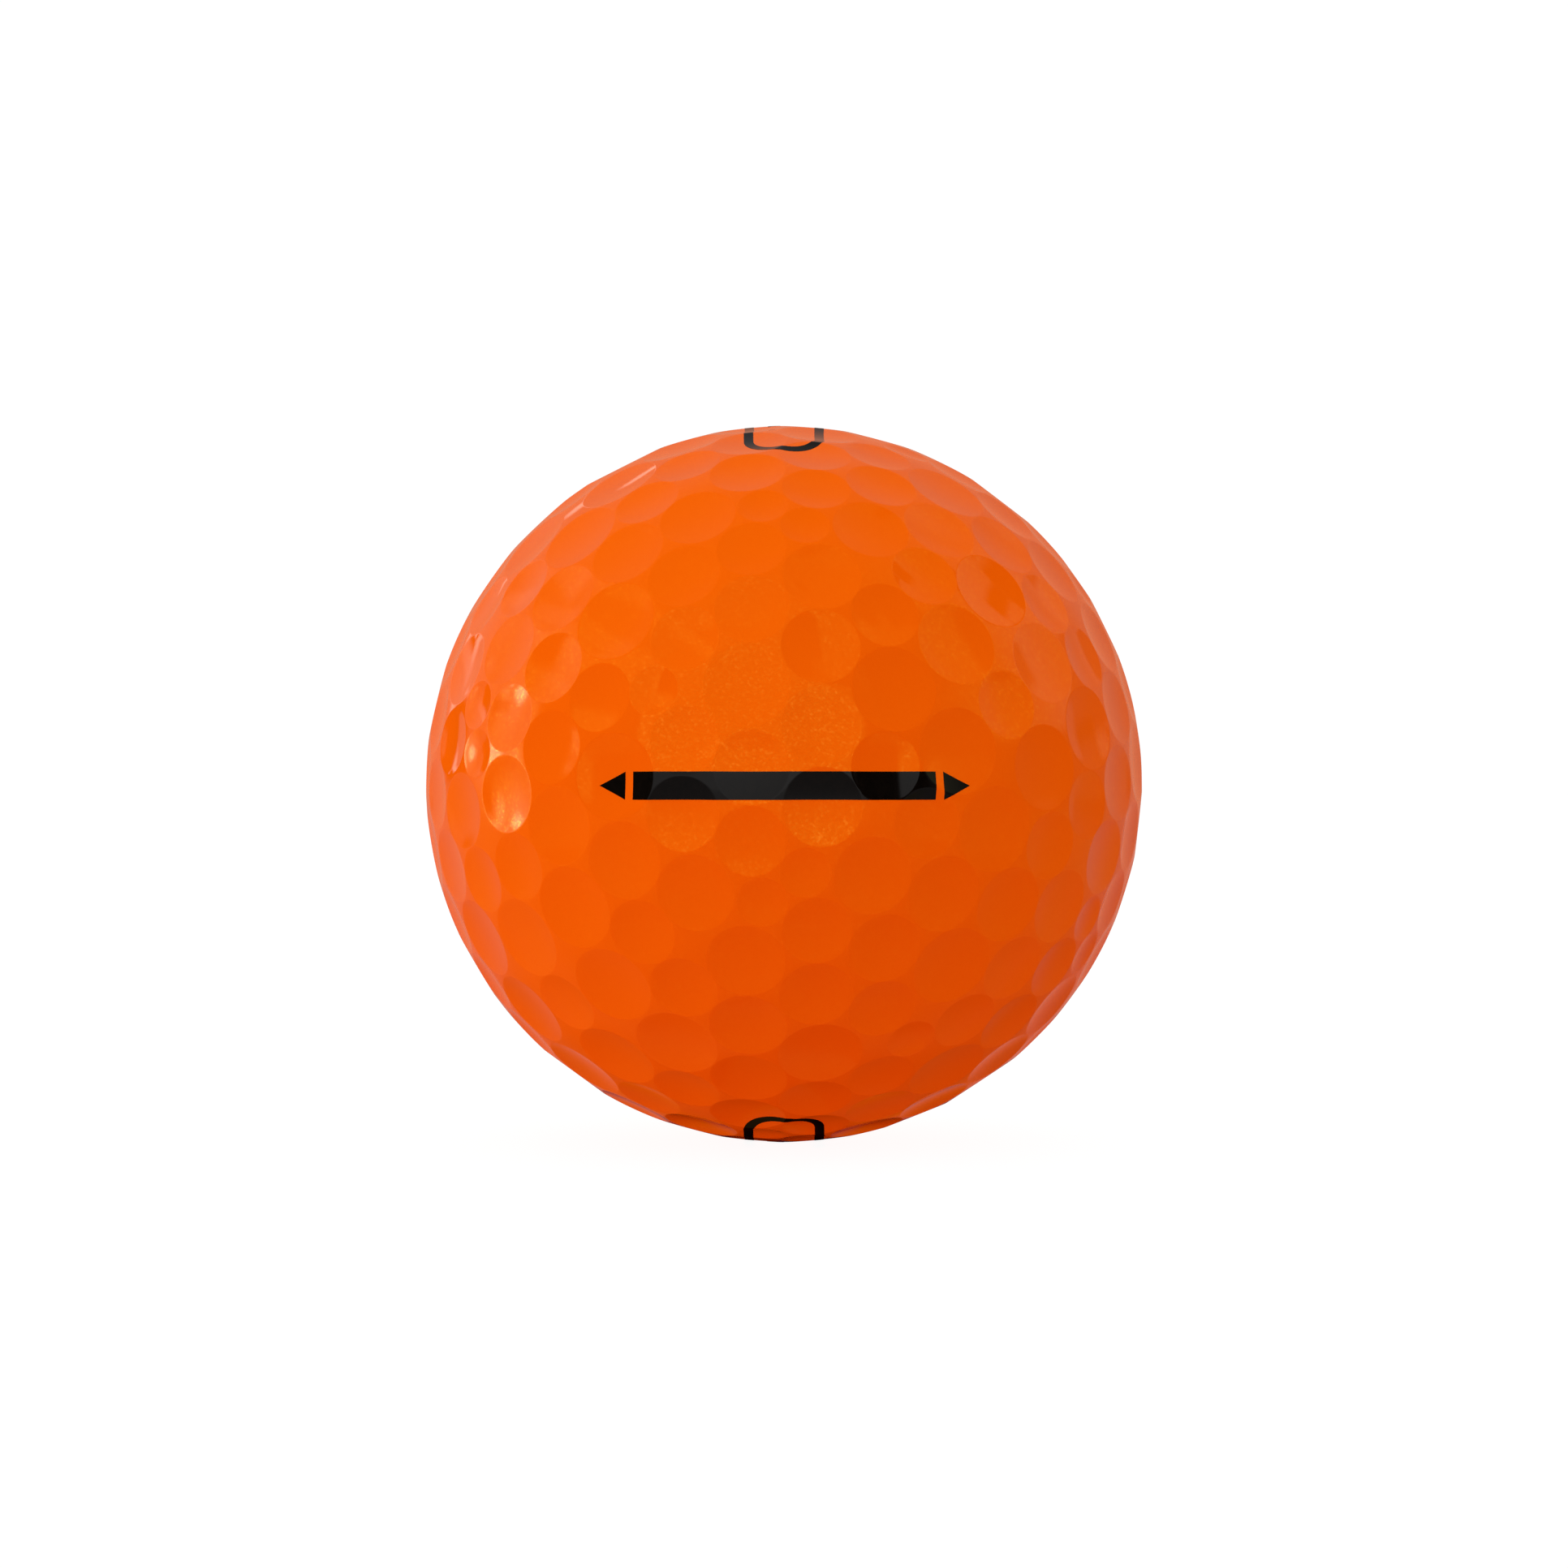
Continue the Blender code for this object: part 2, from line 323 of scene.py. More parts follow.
def build_film(name, outlines, placing, step):
    """A thin film of ink that follows the dimpled surface under flat outlines, which are projected onto the ball along the placing's Z."""
    loops = [resampled(o, step) for o in outlines]
    rim = np.vstack(loops)
    low, high = rim.min(axis=0), rim.max(axis=0)
    rows = np.arange(low[1] + step * 0.5, high[1], step * 0.87)
    grid = []
    for k, y in enumerate(rows):
        xs = np.arange(low[0] + step * (0.5 if k % 2 else 0.0), high[0], step)
        grid += [(x, y) for x in xs]
    grid = np.array(grid)
    grid = grid[inside(grid, loops)]
    keep = np.empty(len(grid), bool)
    for at in range(0, len(grid), 2000):
        part = grid[at : at + 2000]
        apart = np.linalg.norm(part[:, None] - rim[None], axis=2).min(axis=1)
        keep[at : at + len(part)] = apart > 0.45 * step
    flat = np.vstack([rim, grid[keep]])
    edges, start = [], 0
    for loop in loops:
        edges += [(start + k, start + (k + 1) % len(loop)) for k in range(len(loop))]
        start += len(loop)
    _, _, web, origins, _, _ = geometry.delaunay_2d_cdt(
        [Vector(p) for p in flat.tolist()], edges, [], 0, 1e-9
    )
    triangles = np.array([[origins[j][0] for j in t] for t in web])
    middles = flat[triangles].mean(axis=1)
    triangles = triangles[inside(middles, loops)]
    a, b, c = flat[triangles[:, 0]], flat[triangles[:, 1]], flat[triangles[:, 2]]
    turn = (b[:, 0] - a[:, 0]) * (c[:, 1] - a[:, 1]) - (b[:, 1] - a[:, 1]) * (
        c[:, 0] - a[:, 0]
    )
    triangles[turn < 0] = triangles[turn < 0][:, ::-1]

    height = np.sqrt(BALL_RADIUS**2 - (flat**2).sum(axis=1))
    local = np.column_stack([flat, height]) / BALL_RADIUS
    v = local @ np.array(placing.to_3x3()).T
    v /= np.linalg.norm(v, axis=1, keepdims=True)
    r = surface_radius(v)
    normals = surface_normals(v)
    n = len(flat)
    points = np.vstack([v * (r + INK_OVER)[:, None], v * (r + INK_UNDER)[:, None]])
    faces = [tuple(t) for t in triangles.tolist()]
    faces += [tuple(n + j for j in reversed(t)) for t in triangles.tolist()]
    start = 0
    for q, loop in enumerate(loops):
        x, y = loop[:, 0], loop[:, 1]
        area = (x * np.roll(y, -1) - np.roll(x, -1) * y).sum()
        outward = (area > 0) == (q == 0)
        for k in range(len(loop)):
            a, b = start + k, start + (k + 1) % len(loop)
            if not outward:
                a, b = b, a
            faces.append((b, a, n + a, n + b))
        start += len(loop)
    return make_object(name, points, faces, np.vstack([normals, -normals]))


def rectangle(left, right, low, high):
    return [(left, low), (right, low), (right, high), (left, high)]


def capsule(half_length, half_width, steps=28):
    """A slot-shaped outline, long in Y."""
    straight = half_length - half_width
    points = []
    for end, start in ((1, 0.0), (-1, math.pi)):
        for i in range(steps + 1):
            turn = start + math.pi * i / steps
            points.append(
                (
                    half_width * math.cos(turn),
                    end * straight + half_width * math.sin(turn),
                )
            )
    return points


def numeral_one(height):
    unit = height / 3.2
    points = (
        (-0.90, -1.60),
        (0.90, -1.60),
        (0.90, -1.08),
        (0.32, -1.08),
        (0.32, 1.60),
        (-0.22, 1.60),
        (-0.95, 0.98),
        (-0.62, 0.52),
        (-0.32, 0.78),
        (-0.32, -1.08),
        (-0.90, -1.08),
    )
    return [(x * unit, y * unit) for x, y in points]


# ---------------------------------------------------------------- materials


def new_material(name):
    made = bpy.data.materials.new(name)
    made.use_nodes = True
    tree = made.node_tree
    return made, tree, tree.nodes["Principled BSDF"]


def node(tree, kind, inputs=None, **settings):
    made = tree.nodes.new(kind)
    for key, value in settings.items():
        setattr(made, key, value)
    for key, value in (inputs or {}).items():
        if isinstance(value, bpy.types.NodeSocket):
            tree.links.new(value, made.inputs[key])
        else:
            made.inputs[key].default_value = value
    return made


def ramp(tree, factor, stops):
    made = node(tree, "ShaderNodeValToRGB", {"Fac": factor})
    elements = made.color_ramp.elements
    while len(elements) < len(stops):
        elements.new(0.5)
    for element, (position, colour) in zip(elements, stops):
        element.position = position
        element.color = colour
    return made.outputs["Color"]


def cover_material():
    """Pearl orange: a saturated, even pigment, under a smooth lacquer with fine golden flakes in it. The lacquer mirrors in gold
    where it is seen head on, and in white towards the limb, and the flakes only show inside what it mirrors."""
    made, tree, shader = new_material("cover_pearl_orange")
    where = node(tree, "ShaderNodeTexCoord").outputs["Object"]
    grain = node(
        tree, "ShaderNodeTexNoise", {"Vector": where, "Scale": 9000.0, "Detail": 2.0, "Roughness": 0.6}
    )
    cloud = node(
        tree, "ShaderNodeTexNoise", {"Vector": where, "Scale": 130.0, "Detail": 2.0, "Roughness": 0.5}
    )
    pigment = ramp(
        tree,
        grain.outputs["Fac"],
        (
            (0.30, (0.797, 0.1570, 0.0011, 1)),
            (0.50, (0.800, 0.1600, 0.0013, 1)),
            (0.70, (0.803, 0.1630, 0.0016, 1)),
        ),
    )
    depth = ramp(
        tree,
        cloud.outputs["Fac"],
        ((0.3, (0.996, 0.990, 1.0, 1)), (0.7, (1.0, 1.0, 1.0, 1))),
    )
    colour = node(
        tree, "ShaderNodeMix", {0: 1.0, 6: pigment, 7: depth}, data_type="RGBA", blend_type="MULTIPLY"
    )
    flakes = node(
        tree, "ShaderNodeTexVoronoi", {"Vector": where, "Scale": 8800.0, "Randomness": 1.0}
    )
    flake = node(tree, "ShaderNodeSeparateColor", {"Color": flakes.outputs["Color"]})
    glint = ramp(
        tree,
        flake.outputs[0],
        (
            (0.0, (0.80, 0.582, 0.024, 1)),
            (0.60, (1.15, 0.836, 0.035, 1)),
            (0.88, (1.88, 1.367, 0.075, 1)),
            (1.0, (3.44, 2.50, 0.20, 1)),
        ),
    )
    tree.links.new(glint, shader.inputs["Specular Tint"])
    # A flake's mirror takes light from the pigment under it, which is given back here
    under = ramp(
        tree,
        flake.outputs[0],
        (
            (0.0, (0.979, 0.979, 0.979, 1)),
            (0.60, (0.993, 0.993, 0.993, 1)),
            (0.88, (1.024, 1.024, 1.024, 1)),
            (1.0, (1.100, 1.100, 1.100, 1)),
        ),
    )
    evened = node(
        tree, "ShaderNodeMix", {0: 1.0, 6: colour.outputs[2], 7: under}, data_type="RGBA", blend_type="MULTIPLY"
    )
    tree.links.new(evened.outputs[2], shader.inputs["Base Color"])
    peel = node(
        tree, "ShaderNodeTexNoise", {"Vector": where, "Scale": 1600.0, "Detail": 1.0, "Roughness": 0.4}
    )
    bump = node(
        tree,
        "ShaderNodeBump",
        {"Height": peel.outputs["Fac"], "Strength": 0.2, "Distance": 0.00001},
    )
    tree.links.new(bump.outputs["Normal"], shader.inputs["Normal"])
    shader.inputs["Roughness"].default_value = 0.05
    shader.inputs["IOR"].default_value = 1.5
    return made


def ink_material():
    """Black pad-printing ink under the same lacquer, a little uneven in how well it covers."""
    made, tree, shader = new_material("ink_black_print")
    where = node(tree, "ShaderNodeTexCoord").outputs["Object"]
    cover = node(
        tree, "ShaderNodeTexNoise", {"Vector": where, "Scale": 2500.0, "Detail": 3.0, "Roughness": 0.6}
    )
    tone = ramp(
        tree,
        cover.outputs["Fac"],
        ((0.3, (0.0016, 0.0017, 0.0018, 1)), (0.75, (0.0032, 0.0032, 0.0034, 1))),
    )
    tree.links.new(tone, shader.inputs["Base Color"])
    rough = node(
        tree, "ShaderNodeMapRange", {"Value": cover.outputs["Fac"], "To Min": 0.05, "To Max": 0.08}
    )
    tree.links.new(rough.outputs["Result"], shader.inputs["Roughness"])
    shader.inputs["IOR"].default_value = 1.5
    shader.inputs["Specular IOR Level"].default_value = 0.30
    return made


def core_material():
    """Ground rubber: matte, blue-grey, with fine filler specks, which also roughen its surface."""
    made, tree, shader = new_material("core_ground_rubber")
    where = node(tree, "ShaderNodeTexCoord").outputs["Object"]
    specks = node(
        tree, "ShaderNodeTexNoise", {"Vector": where, "Scale": 900.0, "Detail": 4.0, "Roughness": 0.7}
    )
    tone = ramp(
        tree,
        specks.outputs["Fac"],
        ((0.35, (0.22, 0.26, 0.30, 1)), (0.6, (0.31, 0.35, 0.39, 1)), (0.8, (0.42, 0.45, 0.48, 1))),
    )
    tree.links.new(tone, shader.inputs["Base Color"])
    bump = node(
        tree,
        "ShaderNodeBump",
        {"Height": specks.outputs["Fac"], "Strength": 0.35, "Distance": 0.00004},
    )
    tree.links.new(bump.outputs["Normal"], shader.inputs["Normal"])
    shader.inputs["Roughness"].default_value = 0.75
    return made


def floor_material():
    made, tree, shader = new_material("floor_white")
    shader.inputs["Base Color"].default_value = (0.14, 0.14, 0.14, 1)
    shader.inputs["Roughness"].default_value = 1.0
    shader.inputs["Specular IOR Level"].default_value = 0.0
    shader.inputs["Emission Color"].default_value = (1, 1, 1, 1)
    shader.inputs["Emission Strength"].default_value = 0.94
    facing = node(tree, "ShaderNodeNewGeometry").outputs["Backfacing"]
    clear = node(tree, "ShaderNodeBsdfTransparent").outputs[0]
    one_sided = node(
        tree, "ShaderNodeMixShader", {0: facing, 1: shader.outputs[0], 2: clear}
    )
    tree.links.new(one_sided.outputs[0], tree.nodes["Material Output"].inputs["Surface"])
    return made


# ---------------------------------------------------------------- the pieces

skin = build_skin()
skin.data.materials.append(cover_material())
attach(skin, "root")
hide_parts("cover_half_left", "cover_half_right")

ink = ink_material()
front = Matrix.Rotation(math.pi / 2, 4, "X")
top = Matrix.Identity(4)
bottom = Matrix.Rotation(math.pi, 4, "X")
low, high = -STAMP_HEIGHT / 2 - STAMP_DROP, STAMP_HEIGHT / 2 - STAMP_DROP
near_end = BAR_HALF_LENGTH + ARROW_GAP
far_end = near_end + ARROW_LENGTH
arrow = [(near_end, low), (far_end, -STAMP_DROP), (near_end, high)]
ring = [
    capsule(MARK_HALF_LENGTH, MARK_HALF_WIDTH),
    capsule(MARK_HALF_LENGTH - MARK_STROKE, MARK_HALF_WIDTH - MARK_STROKE),
]
films = [
    ("side_stamp_bar", [rectangle(-BAR_HALF_LENGTH, BAR_HALF_LENGTH, low, high)], front, 0.06),
    ("side_stamp_arrow_left", [[(-x, z) for x, z in reversed(arrow)]], front, 0.06),
    ("side_stamp_arrow_right", [arrow], front, 0.06),
    ("top_mark_outline", ring, top, 0.09),
    ("top_mark_numeral", [numeral_one(NUMERAL_HEIGHT)], top, 0.09),
    ("bottom_mark_outline", ring, bottom, 0.09),
    ("bottom_mark_numeral", [numeral_one(NUMERAL_HEIGHT)], bottom, 0.09),
]
pieces = [skin]
for name, outlines, placing, step in films:
    film = build_film(f"{name}_film", outlines, placing, step)
    film.data.materials.append(ink)
    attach(film, "root")
    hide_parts(name)
    pieces.append(film)

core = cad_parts["core"]
core.data.materials.clear()
core.data.materials.append(core_material())
pieces.append(core)

# ---------------------------------------------------------------- floor, lights, surroundings, camera

on_ball = bpy.data.collections.new("lit_ball")
bpy.context.scene.collection.children.link(on_ball)
for piece in pieces:
    on_ball.objects.link(piece)

bm = bmesh.new()
bmesh.ops.create_circle(bm, cap_ends=True, segments=96, radius=6.0)
mesh = bpy.data.meshes.new("floor")
bm.to_mesh(mesh)
bm.free()
floor = bpy.data.objects.new("floor", mesh)
floor.location.z = -(BALL_RADIUS + 0.03) * MM
floor.data.materials.append(floor_material())
bpy.context.scene.collection.objects.link(floor)
floor.visible_diffuse = False
floor.visible_glossy = False
floor.visible_shadow = False
# The patch of table right under the ball, which only keeps light from its underside
bm = bmesh.new()
bmesh.ops.create_circle(bm, cap_ends=True, segments=48, radius=0.0048)
mesh = bpy.data.meshes.new("contact_shade")
bm.to_mesh(mesh)
bm.free()
shade_disc = bpy.data.objects.new("contact_shade", mesh)
shade_disc.location.z = -(BALL_RADIUS + 0.028) * MM
shade_disc.data.materials.append(floor.data.materials[0])
bpy.context.scene.collection.objects.link(shade_disc)
shade_disc.visible_camera = False
shade_disc.visible_diffuse = False
shade_disc.visible_glossy = False
on_floor = bpy.data.collections.new("lit_floor")
bpy.context.scene.collection.children.link(on_floor)
on_floor.objects.link(floor)

ALBEDO = (0.80, 0.160)


def towards(azimuth, elevation):
    """A unit vector: azimuth 0 is towards the camera, positive to its right."""
    a, e = math.radians(azimuth), math.radians(elevation)
    return Vector(
        (math.sin(a) * math.cos(e), -math.cos(a) * math.cos(e), math.sin(e))
    )


def soft_light(name, azimuth, elevation, reds, greens, receivers, half=30.0, distance=0.5):
    """A round soft light. reds and greens are the brightness it gives the cover where it faces the light."""
    radius = distance * math.tan(math.radians(half))
    light = bpy.data.lights.new(name, "AREA")
    light.shape = "DISK"
    light.size = 2 * radius
    fill = 0.93 * math.pi * math.pi * (distance**2 + radius**2)
    red, green = reds / ALBEDO[0] * fill, greens / ALBEDO[1] * fill
    energy = max(red, green)
    light.energy = energy
    light.color = (red / energy, green / energy, min(red, green) / energy)
    obj = bpy.data.objects.new(name, light)
    obj.location = towards(azimuth, elevation) * distance
    obj.rotation_euler = (-obj.location).to_track_quat("-Z", "Y").to_euler()
    obj.visible_glossy = False
    obj.visible_camera = False
    bpy.context.scene.collection.objects.link(obj)
    if receivers is not None:
        obj.light_linking.receiver_collection = receivers
    return obj


# name, azimuth, elevation, half angle, and the red and green brightness that it gives the cover
STUDIO = (
    ("key_left", -90, 5, 30, 0.248, 0.0316),
    ("key_front_left", -28, 13, 30, 0.197, 0.0259),
    ("fill_right", 75, 15, 30, 0.065, 0.001),
    ("table_glow", 0, -70, 30, 0.419, 0.0298),
    ("sweep_left", -132, -18, 30, 0.409, 0.0754),
    ("sweep_right", 132, -18, 30, 0.189, 0.0487),
)
for name, azimuth, elevation, half, reds, greens in STUDIO:
    soft_light(name, azimuth, elevation, reds, greens, on_ball, half=half)


def sky_light(name, upward, red, green, blue, receivers):
    """An even half-sky of light from above or from below."""
    light = bpy.data.lights.new(name, "SUN")
    light.angle = math.pi
    light.energy = max(red, green, blue)
    light.color = (red / light.energy, green / light.energy, blue / light.energy)
    obj = bpy.data.objects.new(name, light)
    obj.location = (0, 0, -0.4 if upward else 0.4)
    obj.rotation_euler = (math.pi if upward else 0.0, 0.0, 0.0)
    obj.visible_glossy = False
    obj.visible_camera = False
    bpy.context.scene.collection.objects.link(obj)
    obj.light_linking.receiver_collection = receivers


sky_light("glow_above", False, 3.41, 2.32, 1.0, on_ball)
sky_light("glow_below", True, 0.62, 0.01, 0.01, on_ball)
sky_light("floor_light", False, 2.2, 2.2, 2.2, on_floor)


def world_surroundings():
    """A plain white background for the camera, nothing for the pigment, which the lights above reach, and for the mirror-like
    reflections a studio room: soft panels and dark things, each a block of directions with soft edges."""
    world = bpy.data.worlds.new("studio")
    bpy.context.scene.world = world
    world.use_nodes = True
    world.cycles.sampling_method = "NONE"
    tree = world.node_tree
    tree.nodes.clear()
    where = node(tree, "ShaderNodeTexCoord").outputs["Generated"]
    xyz = node(tree, "ShaderNodeSeparateXYZ", {"Vector": where})

    def maths(operation, *values):
        made = node(tree, "ShaderNodeMath", operation=operation)
        for i, value in enumerate(values):
            if isinstance(value, bpy.types.NodeSocket):
                tree.links.new(value, made.inputs[i])
            else:
                made.inputs[i].default_value = value
        return made.outputs[0]

    def fade(value, start, end, low=0.0, high=1.0):
        made = node(
            tree,
            "ShaderNodeMapRange",
            {"Value": value, "From Min": start, "From Max": end, "To Min": low, "To Max": high},
            interpolation_type="SMOOTHSTEP",
        )
        return made.outputs["Result"]

    front_y = maths("MULTIPLY", xyz.outputs["Y"], -1.0)
    azimuth = maths(
        "MULTIPLY", maths("ARCTAN2", xyz.outputs["X"], front_y), 180 / math.pi
    )
    elevation = maths(
        "MULTIPLY", maths("ARCSINE", xyz.outputs["Z"]), 180 / math.pi
    )
    away = maths("ABSOLUTE", azimuth)

    def block(a0, a1, e0, e1, soft_a=1.5, soft_e=1.5, over=azimuth):
        """1 inside the block of directions, 0 outside."""
        parts = [
            fade(over, a0 - soft_a, a0 + soft_a),
            fade(over, a1 - soft_a, a1 + soft_a, 1.0, 0.0),
            fade(elevation, e0 - soft_e, e0 + soft_e),
            fade(elevation, e1 - soft_e, e1 + soft_e, 1.0, 0.0),
        ]
        out = parts[0]
        for part in parts[1:]:
            out = maths("MULTIPLY", out, part)
        return out

    def times(*values):
        out = values[0]
        for value in values[1:]:
            out = maths("MULTIPLY", out, value)
        return out

    # the room: dim walls, fading towards the ceiling, and darker below the table's edge
    rear = fade(away, 100, 140)
    low_end = maths("SUBTRACT", 0.16, times(rear, 0.07))
    walls = maths("ADD", low_end, times(fade(elevation, -38, -6), maths("SUBTRACT", 0.20, low_end)))
    room = times(walls, fade(elevation, 82, 50, 0.62, 1.0))
    room = maths("ADD", room, times(fade(away, 112, 146), fade(elevation, -12, 6), fade(elevation, 74, 48), 0.05))
    # dark things: the inside of the left frame, the camera stand, a shelf along the right, and small fittings
    darks = (
        (block(-87.5, -47.5, -4, 26.5, 0.8, 1.4), 0.90),
        (block(14.5, 46, -4, 57, 0.8, 2.0), 0.94),
        (block(40, 60, 10, 34, 7.0, 5.0), 0.45),
        (block(46, 65, 28, 50, 3.0, 4.0), 0.85),
        (block(26, 123, -5, 10.5, 1.5, 2.0), 0.50),
        (block(-136.5, -123, 0, 12, 1.2, 1.4), 1.0),
        (block(89, 99, 38, 54, 1.5, 2.0), 1.0),
        (block(98, 112, 41.5, 46.5, 1.5, 1.2), 1.0),
        (block(111, 124, 8, 26, 2.0, 1.8), 0.75),
        (block(52, 60, 48, 54, 1.5, 1.5), 0.9),
        (block(44, 50, 67, 71, 1.5, 1.2), 1.0),
        (block(66, 74, 70, 73.5, 1.5, 1.2), 1.0),
        (times(fade(away, 170, 177), fade(elevation, -5, -11)), 0.95),
    )
    kept = None
    for mask, share in darks:
        left = maths("SUBTRACT", 1.0, times(mask, share))
        kept = left if kept is None else times(kept, left)

    # the window side: a wide soft area on the right
    window = times(
        fade(azimuth, 46, 70), fade(azimuth, 132, 118), fade(elevation, 9, 13), fade(elevation, 80, 34)
    )
    lit = times(maths("ADD", room, times(window, 0.26)), kept)

    # the front wall behind the camera, brightest low down and to its right, cut off by the camera stand
    stepped = maths("ADD", azimuth, times(fade(elevation, 27, 33), fade(elevation, 49, 46.5, 0.45, 1.0), 11.5))
    front_wall = times(
        fade(azimuth, -47.5, -46.0),
        fade(stepped, 25.0, 26.5, 1.0, 0.0),
        fade(elevation, -2.6, -1.2),
        fade(elevation, 68, 60),
    )
    tall = fade(elevation, 62, 2, 0.10, 0.53)
    upper_left = maths("SUBTRACT", 1.0, times(fade(azimuth, -8, -46), fade(elevation, 34, 48), 0.8))
    lit = maths("ADD", lit, times(front_wall, tall, upper_left, fade(azimuth, -50, 14, 0.72, 1.0)))
    lit = maths("ADD", lit, maths("ADD", times(block(12.5, 25.6, -5, 25, 1.2, 2.5), 0.14), times(block(-10, 25.6, -8, 8, 8.0, 3.0), 0.08)))
    lit = maths(
        "ADD",
        lit,
        times(fade(azimuth, -50, -44), fade(azimuth, 28, 24), fade(elevation, -15, -3), fade(elevation, -1.2, -2.6), 0.24),
    )
    # a thin bright hoop high on the left
    bow = maths("ADD", azimuth, 76.0)
    crest = maths("SUBTRACT", 48.5, times(bow, bow, 0.0052))
    off = maths("ABSOLUTE", maths("SUBTRACT", elevation, crest))
    hoop = times(fade(off, 1.0, 3.8, 1.0, 0.0), block(-142, -28, 15, 60, 5, 4))
    lit = maths("ADD", lit, times(hoop, fade(azimuth, -140, -70, 0.14, 0.30)))
    # the left frame: a bar above its dark inside, and an upright at its right
    lit = maths("ADD", lit, times(block(-112, -45, 28.5, 37.5, 5.0, 1.6), 0.36))
    lit = maths("ADD", lit, times(block(-47.5, -43.5, 12, 30, 0.7, 3.5), 0.22))
    # the left soft box, brighter towards its right, with a lamp and its spill low down
    box = block(-150, -88.5, 10, 31, 5.0, 3.5)
    rising = maths("ADD", fade(azimuth, -150, -110, 0.10, 0.24), fade(azimuth, -114, -92, 0.0, 0.60))
    lit = maths("ADD", lit, times(box, rising, fade(elevation, 36, 14, 0.3, 1.0)))
    lit = maths("ADD", lit, times(block(-143, -119, 11.5, 14.5, 2.0, 0.8), 0.22))

    def spot(turn, height, wide, tall_by, core, strength):
        a = maths("DIVIDE", maths("SUBTRACT", azimuth, float(turn)), float(wide))
        e = maths("DIVIDE", maths("SUBTRACT", elevation, float(height)), float(tall_by))
        reach = maths("SQRT", maths("ADD", times(a, a), times(e, e)))
        return times(fade(reach, core, 1.0, 1.0, 0.0), strength)

    lamp = maths("ADD", spot(-104.6, 5.7, 6.2, 4.9, 0.3, 4.0), spot(-93.6, 2.8, 4.0, 7.0, 0.15, 1.8))
    lamp = maths("ADD", lamp, spot(-99, 2.5, 20.0, 14.0, 0.1, 1.15))
    lamp = maths("ADD", lamp, spot(-110.0, 5.8, 4.0, 3.5, 0.2, 0.8))
    lamp = times(lamp, fade(azimuth, -88.2, -89.8))
    lit = maths("ADD", lit, lamp)
    shelf = times(block(-98, -84, 9.0, 12.6, 2.0, 0.8), 0.50)
    stand = maths("MAXIMUM", block(-136.5, -123.5, 3.5, 11.5, 1.0, 1.0), block(-133, -120, 0.8, 4.5, 1.2, 0.8))
    lit = times(lit, maths("SUBTRACT", 1.0, shelf), maths("SUBTRACT", 1.0, stand))
    lit = maths("ADD", lit, spot(-139, 9.0, 4.0, 4.5, 0.1, 0.9))
    # small bright fittings far back on the left
    lit = maths("ADD", lit, maths("ADD", spot(-156, 28.8, 3.4, 3.2, 0.2, 0.9), spot(-149, 13.8, 2.4, 2.4, 0.2, 0.6)))
    lit = maths("ADD", lit, spot(-158.2, 31.2, 2.8, 2.2, 0.3, 0.9))
    total = lit

    # behind and below, the table gives back some of the ball's own warm colour; nearly straight behind, so does the haze in the lacquer
    low_rear = times(rear, 0.10)
    halo = times(
        fade(xyz.outputs["Y"], 0.72, 0.95),
        maths("SUBTRACT", 1.0, times(fade(away, 168, 176), fade(elevation, -4, -10))),
    )
    red = maths("ADD", total, times(halo, 0.40))
    green = maths("SUBTRACT", maths("ADD", total, times(halo, 0.03)), times(low_rear, fade(elevation, -4, -26), 0.4))
    blue = maths("SUBTRACT", maths("SUBTRACT", total, times(halo, 0.05)), times(low_rear, fade(elevation, -12, -30), 0.75))
    # what stands beside the ball is warmer than what stands in front of it or behind it
    along = maths("ADD", maths("MULTIPLY", xyz.outputs["Y"], 0.5), 0.5)

    def levels(stops):
        return ramp(tree, along, [((y + 1) / 2, (v, v, v, 1)) for y, v in stops])

    upper = levels(
        ((-0.62, 1.0), (-0.48, 0.67), (-0.33, 0.50), (-0.15, 0.50), (-0.03, 0.85), (0.12, 0.93), (0.25, 1.0),
         (0.35, 0.88), (0.45, 1.0), (0.60, 1.04), (0.75, 1.03), (0.85, 0.97), (0.95, 0.92))
    )
    lower = levels(
        ((-0.62, 1.0), (-0.48, 0.55), (-0.33, 0.42), (-0.18, 0.38), (-0.03, 0.38), (0.12, 0.46), (0.25, 0.58),
         (0.35, 0.45), (0.45, 0.50), (0.55, 0.73), (0.65, 1.0), (0.75, 1.08), (0.83, 1.12), (0.93, 1.12))
    )
    side = node(
        tree, "ShaderNodeMix", {0: fade(elevation, -5, 2), 2: lower, 3: upper}, data_type="FLOAT"
    )
    blue = times(blue, side.outputs[0])
    tint = node(
        tree,
        "ShaderNodeCombineColor",
        {0: red, 1: maths("MAXIMUM", green, 0.0), 2: maths("MAXIMUM", blue, 0.0)},
    )
    mirrored = node(tree, "ShaderNodeBackground", {"Color": tint.outputs[0], "Strength": 1.0})
    unlit = node(tree, "ShaderNodeBackground", {"Color": (0, 0, 0, 1), "Strength": 0.0})
    white = node(tree, "ShaderNodeBackground", {"Color": (1, 1, 1, 1), "Strength": 1.02})
    path = node(tree, "ShaderNodeLightPath")
    first = node(
        tree,
        "ShaderNodeMixShader",
        {0: path.outputs["Is Diffuse Ray"], 1: mirrored.outputs[0], 2: unlit.outputs[0]},
    )
    second = node(
        tree,
        "ShaderNodeMixShader",
        {0: path.outputs["Is Camera Ray"], 1: first.outputs[0], 2: white.outputs[0]},
    )
    out = node(tree, "ShaderNodeOutputWorld")
    tree.links.new(second.outputs[0], out.inputs["Surface"])


world_surroundings()

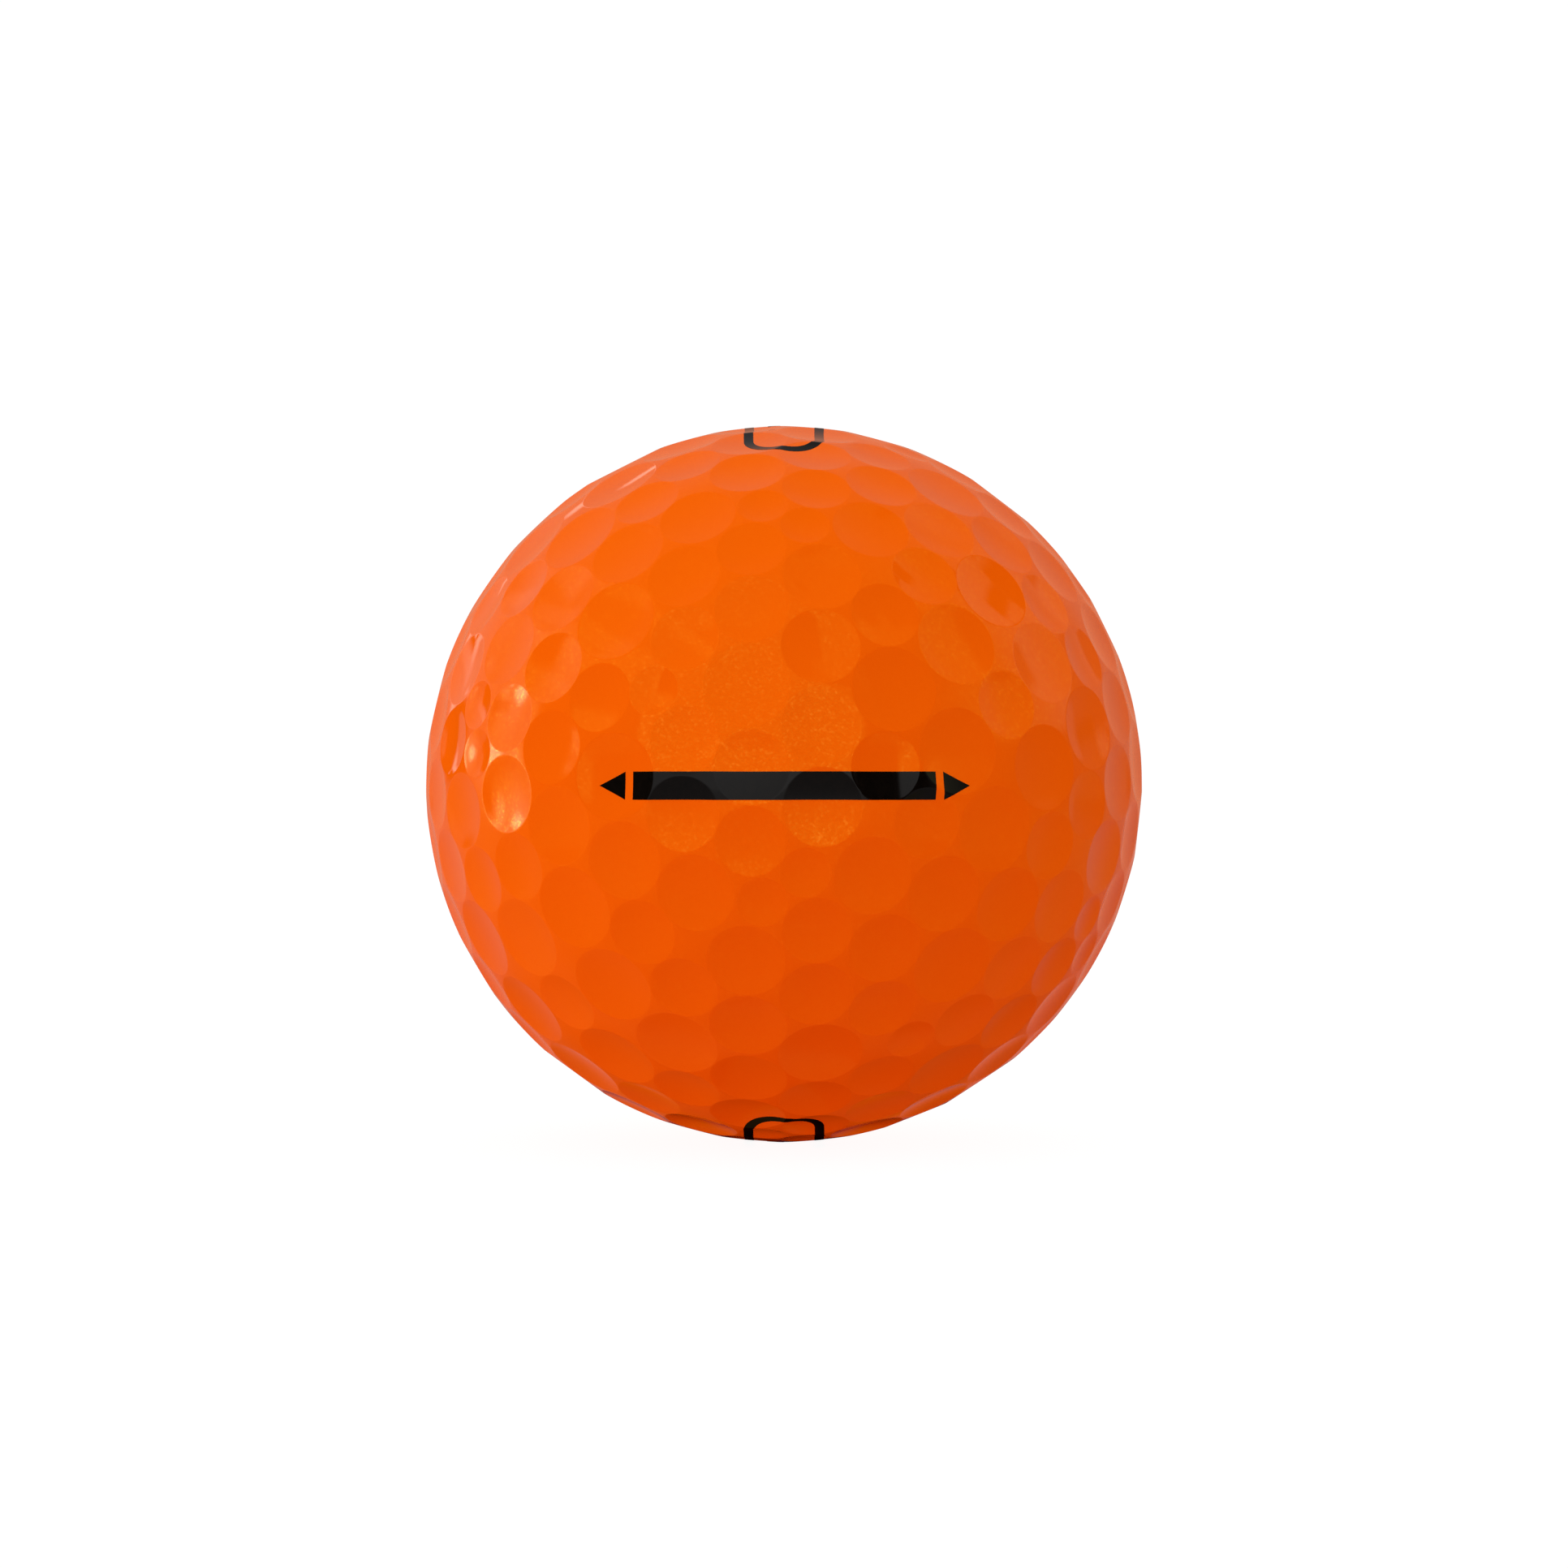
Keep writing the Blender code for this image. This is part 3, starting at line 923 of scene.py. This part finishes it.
camera = bpy.data.cameras.new("camera")
camera.lens = FOCAL_LENGTH
camera.sensor_width = 36.0
camera.clip_start = 0.01
camera.clip_end = 50.0
eye = bpy.data.objects.new("camera", camera)
eye.location = (0.0, -CAMERA_DISTANCE * MM, 0.0)
eye.rotation_euler = (math.pi / 2, 0.0, 0.0)
bpy.context.scene.collection.objects.link(eye)
bpy.context.scene.camera = eye

scene = bpy.context.scene
scene.view_settings.view_transform = "Standard"
scene.view_settings.look = "None"
